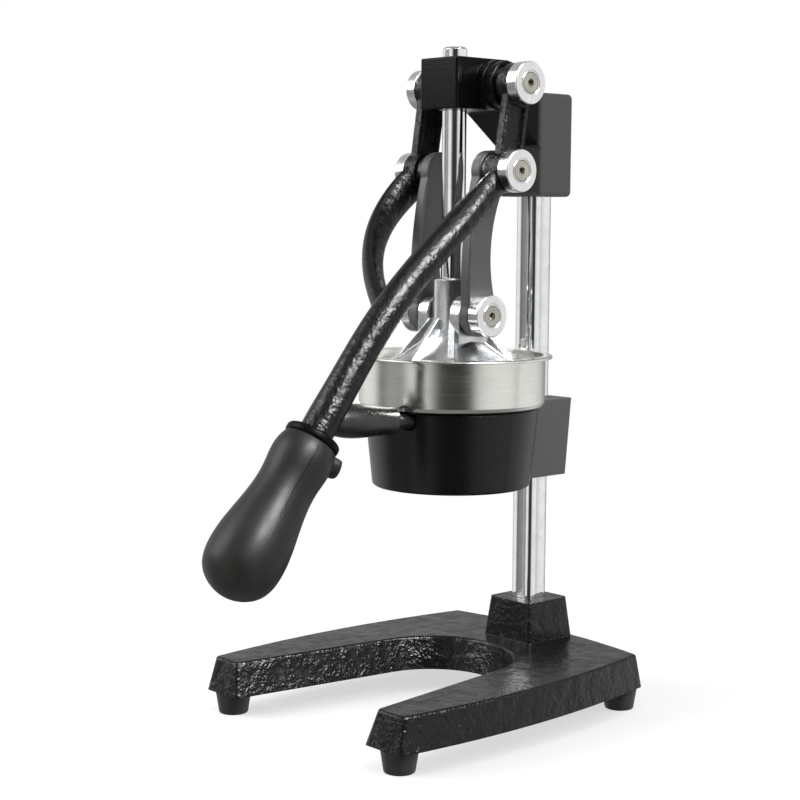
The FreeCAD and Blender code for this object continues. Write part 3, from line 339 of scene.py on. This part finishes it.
zinc = bright_metal("zinc_plate", ZINC, gloss=0.3, lines=(300, 300, 300), line_depth=0.02 * MM)
screw_steel = bright_metal("turned_screw_steel", SCREW_STEEL, gloss=0.34,
                           lines=(60, 1200, 1200), line_depth=0.02 * MM, rim=0.9 * MM)
bronze = bright_metal("bush_bronze", BRONZE, gloss=0.3, lines=(80, 800, 800),
                      line_depth=0.02 * MM)
steel = brushed_steel("brushed_cup_steel", CUP_STEEL)
aluminium = cast_aluminium("satin_cast_aluminium", ALUMINIUM)
grip_plastic = moulded("matt_grip_plastic", GRIP_BLACK, gloss=0.4, shine=0.13,
                       grain=0.4 * MM, depth=0.03 * MM)
handle_plastic = moulded("satin_handle_plastic", HANDLE_BLACK, gloss=0.27, shine=0.5,
                         grain=0.5 * MM, depth=0.02 * MM)
rubber = moulded("black_rubber", RUBBER_BLACK, gloss=0.5, shine=0.5, grain=0.3 * MM,
                 depth=0.04 * MM)

FINISH = {
    coarse_black: ["base_casting"],
    fine_black: ["lever_casting"],
    satin_grey: ["left_link", "right_link"],
    head_black: ["head_casting"],
    bowl_black: ["bowl_holder"],
    gloss_black: ["grip_collar"],
    black_steel: ["head_set_screws", "holder_clamp_screws", "top_spacers", "crank_spacers",
                  "cup_neck"],
    chrome: ["guide_rod"],
    column_chrome: ["column"],
    cap_chrome: ["top_caps", "crank_caps", "ear_caps"],
    zinc: ["foot_screws", "column_bolt", "column_washer", "top_shaft", "crank_pins", "ear_pins"],
    screw_steel: ["top_cap_screws", "crank_cap_screws", "ear_cap_screws", "rod_screw"],
    bronze: ["guide_bushes", "left_link_bush", "right_link_bush"],
    steel: ["strainer_cup", "juice_funnel"],
    aluminium: ["press_bell"],
    grip_plastic: ["lever_grip"],
    handle_plastic: ["cup_grip"],
    rubber: ["rubber_feet"],
}
finished = set()
for material, names in FINISH.items():
    for name in names:
        mesh = nodes[name].data
        mesh.materials.clear()
        mesh.materials.append(material)
        finished.add(name)
assert finished == set(nodes), sorted(set(nodes) ^ finished)


def make_floor():
    """A pale floor that keeps the shadow near the press and fades into the backdrop.

    Reflections pass through it, so that polished metal shows the room alone.
    """
    mesh = bpy.data.meshes.new("floor")
    corners = [(-FLOOR_HALF, -FLOOR_HALF, 0), (FLOOR_HALF, -FLOOR_HALF, 0),
               (FLOOR_HALF, FLOOR_HALF, 0), (-FLOOR_HALF, FLOOR_HALF, 0)]
    mesh.from_pydata(corners, [], [(0, 1, 2, 3)])
    floor = bpy.data.objects.new("floor", mesh)
    bpy.context.collection.objects.link(floor)
    material = bpy.data.materials.new("pale_floor")
    material.use_nodes = True
    w = Wiring(material.node_tree)
    diffuse = w.add("ShaderNodeBsdfDiffuse", {"Color": (FLOOR_GREY, FLOOR_GREY, FLOOR_GREY, 1)})
    white = w.add("ShaderNodeEmission", {"Color": (1, 1, 1, 1)})
    clear = w.add("ShaderNodeBsdfTransparent")
    path = w.add("ShaderNodeLightPath").outputs
    distance = w.add("ShaderNodeVectorMath", {0: w.add("ShaderNodeTexCoord").outputs["Object"]},
                     operation="LENGTH").outputs["Value"]
    whiteness = w.spread(distance, FLOOR_WHITE_SHARE, 1.0, *FLOOR_FADE, smooth=True)
    shown = w.blend(w.math("MULTIPLY", path["Is Camera Ray"], whiteness),
                    diffuse.outputs[0], white.outputs[0])
    w.add("ShaderNodeOutputMaterial",
          {0: w.blend(path["Is Glossy Ray"], shown, clear.outputs[0])})
    mesh.materials.append(material)


def make_room():
    """A studio with light and dark walls, which the camera itself sees as plain white."""
    world = bpy.data.worlds.new("studio")
    bpy.context.scene.world = world
    world.use_nodes = True
    w = Wiring(world.node_tree)
    turn = w.add("ShaderNodeVectorRotate",
                 {"Vector": w.add("ShaderNodeTexCoord").outputs["Generated"],
                  "Angle": math.radians(180 - CAMERA_AZIMUTH)}, rotation_type="Z_AXIS")
    parts = w.add("ShaderNodeSeparateXYZ", {0: turn.outputs[0]}).outputs
    bearing = w.math("ARCTAN2", parts["X"], parts["Y"])
    walls = w.add("ShaderNodeValToRGB", {0: w.spread(bearing, 0.0, 1.0, math.pi, -math.pi)})
    stops = walls.color_ramp.elements
    for k, (angle, level) in enumerate(ROOM):
        place = (angle + 180) / 360
        stop = stops[k] if k < 2 else stops.new(place)
        stop.position = place
        stop.color = (level, level, level, 1)
    upper = w.mix(w.spread(parts["Z"], 0.0, 1.0, *CEILING_BLEND, smooth=True),
                  walls.outputs[0], (CEILING, CEILING, CEILING))
    room = w.mix(w.spread(parts["Z"], 0.0, 1.0, *GROUND_BLEND, smooth=True),
                 upper, (GROUND, GROUND, GROUND))
    lit = w.add("ShaderNodeBackground", {"Color": room})
    white = w.add("ShaderNodeBackground", {"Color": (1, 1, 1, 1)})
    seen = w.blend(w.add("ShaderNodeLightPath").outputs["Is Camera Ray"],
                   lit.outputs[0], white.outputs[0])
    w.add("ShaderNodeOutputWorld", {0: seen})


def make_lamp(name, bearing, height, distance, width, tall, watts, matt=False, glossy=False):
    """A soft box at a bearing to the right of the camera, aimed at the press.

    It lights matt surfaces, shows in glossy ones, or does both.
    """
    angle = math.radians(CAMERA_AZIMUTH + bearing)
    place = Vector((math.sin(angle), -math.cos(angle), 0)) * distance + Vector((0, 0, height))
    data = bpy.data.lights.new(name, "AREA")
    data.shape = "RECTANGLE"
    data.size = width
    data.size_y = tall
    data.energy = watts
    lamp = bpy.data.objects.new(name, data)
    bpy.context.collection.objects.link(lamp)
    lamp.location = place
    lamp.rotation_euler = (LAMP_AIM - place).to_track_quat("-Z", "Y").to_euler()
    lamp.visible_diffuse = matt
    lamp.visible_glossy = glossy


def make_camera():
    data = bpy.data.cameras.new("camera")
    data.lens = CAMERA_LENS
    data.sensor_width = CAMERA_SENSOR
    data.dof.use_dof = False
    camera = bpy.data.objects.new("camera", data)
    bpy.context.collection.objects.link(camera)
    angle = math.radians(CAMERA_AZIMUTH)
    pitch = math.radians(CAMERA_PITCH)
    back = Vector((math.sin(angle) * math.cos(pitch), -math.cos(angle) * math.cos(pitch),
                   math.sin(pitch)))
    right = Vector((math.cos(angle), math.sin(angle), 0))
    up = back.cross(right)
    roll = math.radians(CAMERA_ROLL)
    level = right * math.cos(roll) + up * math.sin(roll)
    rise = up * math.cos(roll) - right * math.sin(roll)
    turn = Matrix((level, rise, back)).transposed()
    camera.matrix_world = Matrix.Translation(CAMERA_PLACE) @ turn.to_4x4()
    bpy.context.scene.camera = camera


make_floor()
make_room()
make_lamp("right_soft_box", bearing=82, height=0.8, distance=1.5, width=0.9, tall=1.4,
          watts=16, matt=True)
make_lamp("left_soft_box", bearing=-82, height=1.05, distance=1.4, width=1.0, tall=1.1,
          watts=32, matt=True, glossy=True)
make_lamp("front_soft_box", bearing=42, height=1.25, distance=1.2, width=0.75, tall=0.5,
          watts=115, glossy=True)
make_lamp("top_soft_box", bearing=20, height=1.8, distance=0.5, width=1.0, tall=1.0,
          watts=10, matt=True, glossy=True)
make_camera()
bpy.context.scene.view_settings.view_transform = "Standard"
